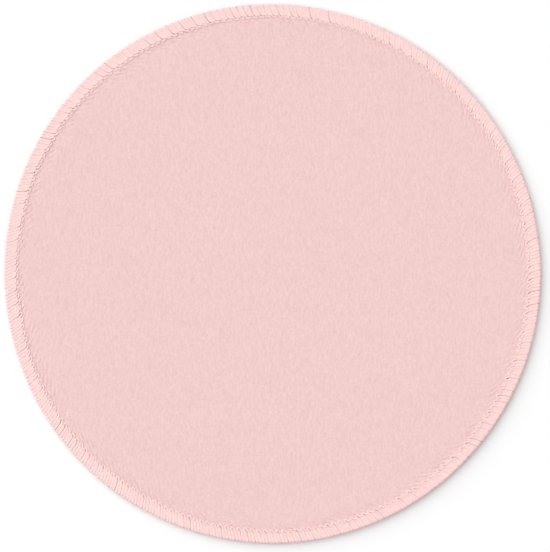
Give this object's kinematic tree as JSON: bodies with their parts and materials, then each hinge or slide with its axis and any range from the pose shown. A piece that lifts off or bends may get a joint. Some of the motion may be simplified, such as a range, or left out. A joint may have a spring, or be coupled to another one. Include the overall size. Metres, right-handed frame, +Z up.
{
  "type": "mouse pad",
  "caption": "Round flat mouse pad: smooth pale pink knit face on a foamed rubber base with a non-slip underside, its rim bound by a dense overlock seam.",
  "frame": {"origin": "centre of the underside, on the surface that the pad lies on", "axes": "+Z up out of the cloth face; +X to the right and +Y away from the user as in the picture, though the pad is round and has no front"},
  "size_m": [0.22, 0.22, 0.003],
  "materials": {
    "face_cloth": "smooth fine knit, matt, pale pink",
    "seam_thread": "bulky overlock yarn, soft sheen, lighter pink than the face",
    "bonding_film": "thin hot-melt film, hidden between the sheets",
    "base_rubber": "foamed natural rubber with a fine non-slip texture, matt black"
  },
  "bodies": {
    "root": {"rubber_base": "base_rubber", "bonding_film": "bonding_film", "cloth_top": "face_cloth", "upper_looper_thread": "seam_thread", "lower_looper_thread": "seam_thread", "needle_thread": "seam_thread"}
  },
  "joints": []
}
